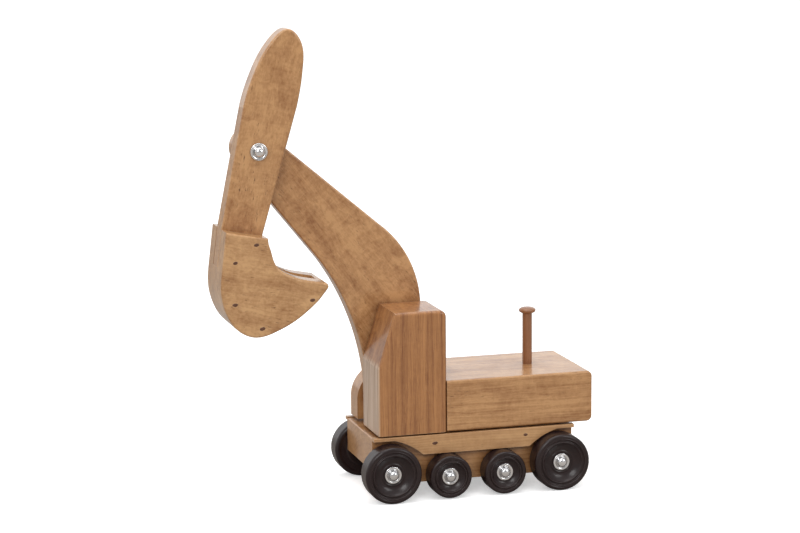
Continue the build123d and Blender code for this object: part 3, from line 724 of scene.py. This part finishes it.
def turned_mesh(name, points, finish, place, turn, corner, step, segments):
    """A turned solid; corner and step are in millimetres."""
    source = profile_curve(name, points)
    return outward(grow(source, LATHE, {
        "Corner Radius": corner * MM, "Profile Step": step * MM, "Segments": segments,
        "Place": place, "Turn": turn, "Finish": finish,
    }))


def arc(centre, radius, start, end, steps):
    """Points on an arc, angles in degrees, from start to end."""
    points = []
    for n in range(steps + 1):
        angle = math.radians(start + (end - start) * n / steps)
        points.append((centre[0] + radius * math.cos(angle),
                       centre[1] + radius * math.sin(angle)))
    return points


# ---------------------------------------------------------------- turned and pressed pieces
# radius, width and how deep the hub lies, in millimetres
WHEELS = {
    "front": (25.4, 19.05, 4.6),
    "second": (19.05, 17.5, 4.2),
    "third": (19.05, 17.5, 4.2),
    "rear": (25.4, 19.05, 4.6),
}
WHEEL_BORE = 3.25
SHOULDER_SHARE = 0.11
DISH_SHARE = 0.69
HUB_SHARE = 0.40
DISH_DROP = 1.0
DISH_STEPS = 8
WHEEL_INNER_FACE = 42.2
CAP_GAP = 0.3
PIVOT_CAP_HEIGHT = 4.8
CROWN_FOOT, CROWN_RISE, CROWN_RADIUS, CROWN_STEPS = 2.3, 2.45, 4.2, 8
PEG_FOOT, PEG_NECK, PEG_RADIUS = 92.0, 150.0, 4.35

AS_DRAWN = Vector((0.0, 0.0, 0.0))
ABOUT_FACE = Vector((0.0, 0.0, math.pi))
STOOD_UP = Vector((0.0, -math.pi / 2, 0.0))


def wheel_profile(radius, width, hub_depth):
    """Rounded tyre with a scored line, a ring groove, a raised bead, a dished web and a hub."""
    shoulder = SHOULDER_SHARE * radius
    dish, hub = DISH_SHARE * radius, HUB_SHARE * radius
    face_rim = radius - shoulder
    hub_face = width - hub_depth
    points = [(0.0, WHEEL_BORE), (0.0, 0.55 * radius), (0.5, 0.60 * radius),
              (0.5, 0.80 * radius), (0.0, 0.85 * radius)]
    points += arc((shoulder, face_rim), shoulder, 180, 90, 8)
    points += arc((width - shoulder, face_rim), shoulder, 90, 12, 8)
    points += [
        (width, 0.875 * radius), (width - 0.55, 0.858 * radius), (width - 0.02, 0.838 * radius),
        (width - 0.10, 0.815 * radius), (width - 1.25, 0.795 * radius),
        (width - 1.25, 0.755 * radius), (width - 0.15, 0.738 * radius),
        (width - 0.15, 0.70 * radius), (width - DISH_DROP, dish - 0.2),
    ]
    for n in range(1, DISH_STEPS):
        share = n / DISH_STEPS
        fall = math.sin(share * math.pi / 2)
        points.append((width - DISH_DROP - (hub_depth - DISH_DROP) * fall,
                       dish + (hub - dish) * share))
    points += [(hub_face, hub + 0.2), (hub_face + 0.45, hub - 0.35), (hub_face + 0.45, hub - 1.1),
               (hub_face, hub - 1.5), (hub_face, WHEEL_BORE), (0.0, WHEEL_BORE)]
    return points


def cap_profile():
    """Pressed cap: a brim with a rolled edge, a groove, a short neck and a domed crown."""
    points = [(2.6, 0.0), (2.6, 3.2), (0.05, 3.3), (0.05, 7.2)]
    points += [(0.15, 7.5), (0.45, 7.6), (0.80, 7.45), (0.98, 7.1), (0.90, 6.2), (0.72, 5.6),
               (0.30, 5.1), (0.30, 4.45), (1.2, 4.15), (2.3, 4.2)]
    for n in range(CROWN_STEPS + 1):
        angle = math.pi / 2 * n / CROWN_STEPS
        points.append((CROWN_FOOT + CROWN_RISE * math.sin(angle),
                       max(CROWN_RADIUS * math.cos(angle), 0.0)))
    return points


def peg_profile():
    """Peg as (height, radius), from inside the block up to the crown of its mushroom head."""
    points = [(PEG_FOOT, 0.0), (PEG_FOOT, PEG_RADIUS), (103.6, PEG_RADIUS),
              (PEG_NECK - 0.6, PEG_RADIUS)]
    points += [(PEG_NECK + rise, radius) for rise, radius in (
        (0.0, 4.9), (0.35, 6.1), (1.1, 7.2), (2.3, 7.65), (3.4, 7.35), (4.3, 6.2),
        (4.95, 4.4), (5.25, 2.2), (5.3, 0.0))]
    return points


def add_piece(name, mesh, body, node):
    mesh.name = name
    item = bpy.data.objects.new(name, mesh)
    SCENE.collection.objects.link(item)
    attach(item, body)
    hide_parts(node)


def press_cap(gathered, place, turn):
    """Adds one pressed cap to the set that is being gathered."""
    cap = turned_mesh("cap", cap_profile(), FINISH["chrome"], place, turn,
                      corner=0.12, step=0.25, segments=56)
    gathered.from_mesh(cap)
    bpy.data.meshes.remove(cap)


def add_cap_set(name, gathered, body, node):
    mesh = bpy.data.meshes.new(name)
    gathered.to_mesh(mesh)
    gathered.free()
    mesh.shade_smooth()
    mesh.materials.append(FINISH["chrome"])
    add_piece(name, mesh, body, node)


def add_wheels_and_axle_caps():
    caps = bmesh.new()
    for row, (radius, width, hub_depth) in WHEELS.items():
        for side, sign, turn in (("left", 1, AS_DRAWN), ("right", -1, ABOUT_FACE)):
            node = f"{row}_wheel_{side}"
            low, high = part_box(node)
            centre = (low + high) / 2
            inner = low.x if side == "left" else high.x
            mesh = turned_mesh(f"turned_{node}", wheel_profile(radius, width, hub_depth),
                               FINISH["lacquer"], Vector((inner, centre.y, centre.z)), turn,
                               corner=0.35, step=0.45, segments=112)
            add_piece(f"turned_{node}", mesh, node, node)
            brim = (WHEEL_INNER_FACE + width - hub_depth + CAP_GAP) * MM
            press_cap(caps, Vector((sign * brim, centre.y, centre.z)), turn)
    add_cap_set("pressed_axle_caps", caps, "chassis", "axle_caps")


def add_pivot_caps():
    low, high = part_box("stick_pin_caps")
    centre = (low + high) / 2
    height = PIVOT_CAP_HEIGHT * MM
    pair = bmesh.new()
    for x, turn in ((high.x - height, AS_DRAWN), (low.x + height, ABOUT_FACE)):
        press_cap(pair, Vector((x, centre.y, centre.z)), turn)
    add_cap_set("pressed_pivot_caps", pair, "boom", "stick_pin_caps")


def add_peg():
    low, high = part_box("exhaust_peg")
    centre = (low + high) / 2
    mesh = turned_mesh("turned_peg", peg_profile(), FINISH["peg"],
                       Vector((centre.x, centre.y, 0.0)), STOOD_UP,
                       corner=0.3, step=0.5, segments=72)
    add_piece("turned_exhaust_peg", mesh, "house", "exhaust_peg")


# ---------------------------------------------------------------- filled nail holes
SLEW_Y = 0.0577
FENDER_FACE = 0.047625
SCOOP_FACES = (0.03495, -0.0222)
STICK_PIN = Vector((0.0, SLEW_Y - 0.1842, 0.3076))
# (along the vehicle from the slewing axis, height)
FENDER_NAILS = ((-0.0382, 0.0488), (0.0454, 0.0500))
# (across the stick, along the stick), from its pin
SCOOP_NAILS = ((0.0096, -0.0770), (-0.0054, -0.0954), (0.0019, -0.1308),
               (0.0296, -0.1472), (0.0680, -0.1155))
FENDER_SEED, SCOOP_SEED = 4, 11
NAIL_SCALE = (0.82, 1.12)
NAIL_TILT = (-0.22, 0.22)
NAIL_RAGGED = (0.1 * MM, 1.3 * MM, 1.0 * MM)


def random_between(r, seed, low, high):
    made = r.node("FunctionNodeRandomValue", {"Seed": seed}, data_type="FLOAT")
    made.inputs[2].default_value = low
    made.inputs[3].default_value = high
    return made.outputs[1]


def filled_nail_tree():
    """Sets a filled nail hole on every point: a thin, uneven lens of filler, longer along Y."""
    tree = bpy.data.node_groups.new("filled_nail_holes", "GeometryNodeTree")
    new_socket(tree, "Geometry", "NodeSocketGeometry")
    new_socket(tree, "Length", "NodeSocketFloat", 4.6 * MM)
    new_socket(tree, "Height", "NodeSocketFloat", 2.7 * MM)
    new_socket(tree, "Thickness", "NodeSocketFloat", 0.5 * MM)
    new_socket(tree, "Seed", "NodeSocketInt", 7)
    new_socket(tree, "Finish", "NodeSocketMaterial")
    new_socket(tree, "Geometry", "NodeSocketGeometry", is_output=True)
    r = Recipe(tree)
    given = tree.nodes.new("NodeGroupInput").outputs
    ball = r.node("GeometryNodeMeshUVSphere", {"Segments": 20, "Rings": 10, "Radius": 0.5})
    size = r.node("ShaderNodeCombineXYZ", {
        "X": given["Thickness"], "Y": given["Length"], "Z": given["Height"],
    }).outputs[0]
    lens = r.node("GeometryNodeTransform", {
        "Geometry": ball.outputs["Mesh"], "Scale": size,
    }).outputs[0]
    tilt = random_between(r, r.plus(given["Seed"], 3.0), *NAIL_TILT)
    set_out = r.node("GeometryNodeInstanceOnPoints", {
        "Points": given["Geometry"], "Instance": lens,
        "Rotation": r.node("ShaderNodeCombineXYZ", {"X": tilt}).outputs[0],
        "Scale": random_between(r, given["Seed"], *NAIL_SCALE),
    }).outputs[0]
    real = r.node("GeometryNodeRealizeInstances", {"Geometry": set_out}).outputs[0]
    place = r.node("GeometryNodeInputPosition").outputs[0]
    rag = r.noise(place, scale=900.0, detail=2.0, output="Color")
    rag = r.vector("MULTIPLY", r.vector("SUBTRACT", rag, (0.5, 0.5, 0.5)), NAIL_RAGGED)
    ragged = r.node("GeometryNodeSetPosition", {"Geometry": real, "Offset": rag}).outputs[0]
    smooth = r.node("GeometryNodeSetShadeSmooth", {"Geometry": ragged}).outputs[0]
    finished = r.node("GeometryNodeSetMaterial", {
        "Geometry": smooth, "Material": given["Finish"],
    }).outputs[0]
    r.feed(tree.nodes.new("NodeGroupOutput").inputs["Geometry"], finished)
    return tree


def nail_mesh(name, places, tree, seed):
    data = bpy.data.meshes.new(name)
    data.from_pydata(places, [], [])
    source = bpy.data.objects.new(name, data)
    SCENE.collection.objects.link(source)
    return grow(source, tree, {"Seed": seed, "Finish": FINISH["filler"]})


def add_nails():
    tree = filled_nail_tree()
    places = [(side * FENDER_FACE, SLEW_Y + y, z) for side in (1, -1) for y, z in FENDER_NAILS]
    mesh = nail_mesh("fender_nail_marks", places, tree, FENDER_SEED)
    add_piece("filled_fender_nails", mesh, "chassis", "fender_nails")
    across, along = Vector(ACROSS_STICK), Vector(ALONG_STICK)
    places = []
    for face in SCOOP_FACES:
        for u, v in SCOOP_NAILS:
            spot = STICK_PIN + across * u + along * v
            places.append((face, spot.y, spot.z))
    mesh = nail_mesh("scoop_nail_marks", places, tree, SCOOP_SEED)
    add_piece("filled_scoop_nails", mesh, "stick", "bucket_nails")


set_up_camera()
set_up_studio()
FINISH = set_finishes()
add_wheels_and_axle_caps()
add_pivot_caps()
add_peg()
add_nails()
